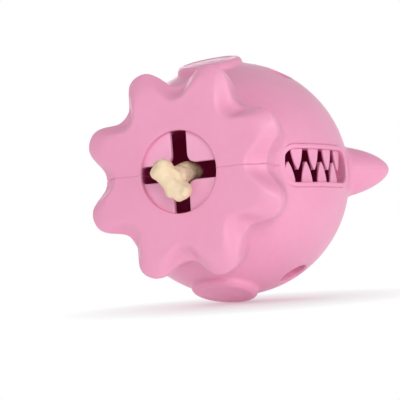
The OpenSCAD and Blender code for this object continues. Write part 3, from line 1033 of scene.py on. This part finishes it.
class TREATBALL_OT_stage(bpy.types.Operator):
    """Set the pale floor, the soft light and the camera"""

    bl_idname = "treat_ball.stage"
    bl_label = "Stage"
    # Each lamp's place, the side of its square in metres and its power in watts
    lamps = {
        "key": ((-0.3, -0.7, 0.5), 0.45, 0.6),
        "front": ((0.46, -0.74, 0.24), 0.25, 2.3),
        "fill": ((0.65, -0.25, 0.03), 0.4, 1.6),
        "back": ((-0.5, 0.72, 0.3), 0.5, 2.6),
    }
    even_light, overhead = 0.5, 0.34  # strength of the world's light level with the object, and its loss overhead
    camera_right, camera_back = Vector((0.9217, 0.3817, -0.0696)), Vector((0.3758, -0.9229, -0.0842))
    camera_away, camera_lens, camera_shift = 0.32, 83.5, (-0.081, -0.0525)

    def execute(self, context):
        scene = context.scene
        deselect()
        bpy.ops.mesh.primitive_plane_add(size=6, location=(0, 0, -0.1 * MM))
        floor = named("floor")
        bpy.ops.object.transform_apply(location=True, rotation=True, scale=True)
        floor.data.materials.append(self.floor_look(scene.looks))
        self.world(scene)
        for name, details in self.lamps.items():
            self.lamp(name, *details)
        self.camera(scene)
        scene.view_settings.view_transform = "Standard"
        return {"FINISHED"}

    def floor_look(self, looks):
        """A pale floor that keeps the shadow near the object and fades to plain white away from it."""
        material = bpy.data.materials.new("pale floor")
        look = Look(material)
        far = look.vector("LENGTH", look.place())
        matt = look.node("ShaderNodeBsdfDiffuse", {}, {"Color": tuple(looks.floor)})
        glow = look.node("ShaderNodeEmission", {}, {"Color": WHITE, "Strength": 1})
        away = ((far + 18 * MM) / (80 * MM)).held()
        shader = look.node("ShaderNodeMixShader", {}, {0: away, 1: matt, 2: glow})
        look.node("ShaderNodeOutputMaterial", {}, {"Surface": shader})
        return material

    def world(self, scene):
        """White all round to the camera and in reflections, and a softer light on the object, less from overhead."""
        world = scene.world or bpy.data.worlds.new("studio")
        scene.world = world
        look = Look(world)
        rays = ("Is Camera Ray", "Is Glossy Ray", "Is Transmission Ray")
        seen, gloss, clear = (look.node("ShaderNodeLightPath", output=ray) for ray in rays)
        plain = (seen + gloss + clear).held()
        rise = look.height(look.node("ShaderNodeTexCoord", output="Generated"))
        light = self.even_light - rise.held() * self.overhead
        sky = look.node("ShaderNodeBackground", {}, {"Color": WHITE, "Strength": light + plain * (1 - light)})
        look.node("ShaderNodeOutputWorld", {}, {"Surface": sky})

    def lamp(self, name, place, size, power):
        deselect()
        bpy.ops.object.light_add(type="AREA", location=place)
        lamp = bpy.context.object
        lamp.name = name
        lamp.data.size = size
        lamp.data.energy = power
        lamp.rotation_euler = (CENTRE - Vector(place)).to_track_quat("-Z", "Y").to_euler()

    def camera(self, scene):
        right, back = self.camera_right.normalized(), self.camera_back.normalized()
        up = back.cross(right)
        bpy.ops.object.camera_add()
        camera = bpy.context.object
        turned = Matrix((right, up, back)).transposed()
        camera.matrix_world = Matrix.Translation(CENTRE + back * self.camera_away) @ turned.to_4x4()
        camera.data.sensor_width = 36
        camera.data.lens = self.camera_lens
        camera.data.shift_x, camera.data.shift_y = self.camera_shift
        camera.data.clip_start = 0.01
        scene.camera = camera


OPERATORS = (
    TREATBALL_OT_wall,
    TREATBALL_OT_slot_lip,
    TREATBALL_OT_hole_rims,
    TREATBALL_OT_collar,
    TREATBALL_OT_tail,
    TREATBALL_OT_pads,
    TREATBALL_OT_flaps,
    TREATBALL_OT_teeth,
    TREATBALL_OT_biscuit,
    TREATBALL_OT_stage,
)
GROUPS = {
    "ball_sizes": BallSizes,
    "collar_sizes": CollarSizes,
    "mouth_sizes": MouthSizes,
    "slot_sizes": SlotSizes,
    "biscuit_sizes": BiscuitSizes,
    "looks": Looks,
}


class TREATBALL_PT_panel(bpy.types.Panel):
    """Lists the sizes, the colours and the pieces of the treat ball"""

    bl_idname = "TREATBALL_PT_panel"
    bl_label = "Treat ball"
    bl_space_type = "VIEW_3D"
    bl_region_type = "UI"
    bl_category = "Treat ball"

    def draw(self, context):
        for name, group in GROUPS.items():
            box = self.layout.box()
            box.label(text=group.__doc__)
            for key in group.__annotations__:
                box.prop(getattr(context.scene, name), key)
        for operator in OPERATORS:
            self.layout.operator(operator.bl_idname)


def register():
    for name, group in GROUPS.items():
        bpy.utils.register_class(group)
        setattr(bpy.types.Scene, name, PointerProperty(type=group))
    for item in (*OPERATORS, TREATBALL_PT_panel):
        bpy.utils.register_class(item)


def unregister():
    for item in reversed((*OPERATORS, TREATBALL_PT_panel)):
        bpy.utils.unregister_class(item)
    for name, group in reversed(GROUPS.items()):
        delattr(bpy.types.Scene, name)
        bpy.utils.unregister_class(group)


def main():
    register()
    for operator in OPERATORS:
        group, name = operator.bl_idname.split(".")
        getattr(getattr(bpy.ops, group), name)()
    deselect()


if __name__ == "__main__":
    main()
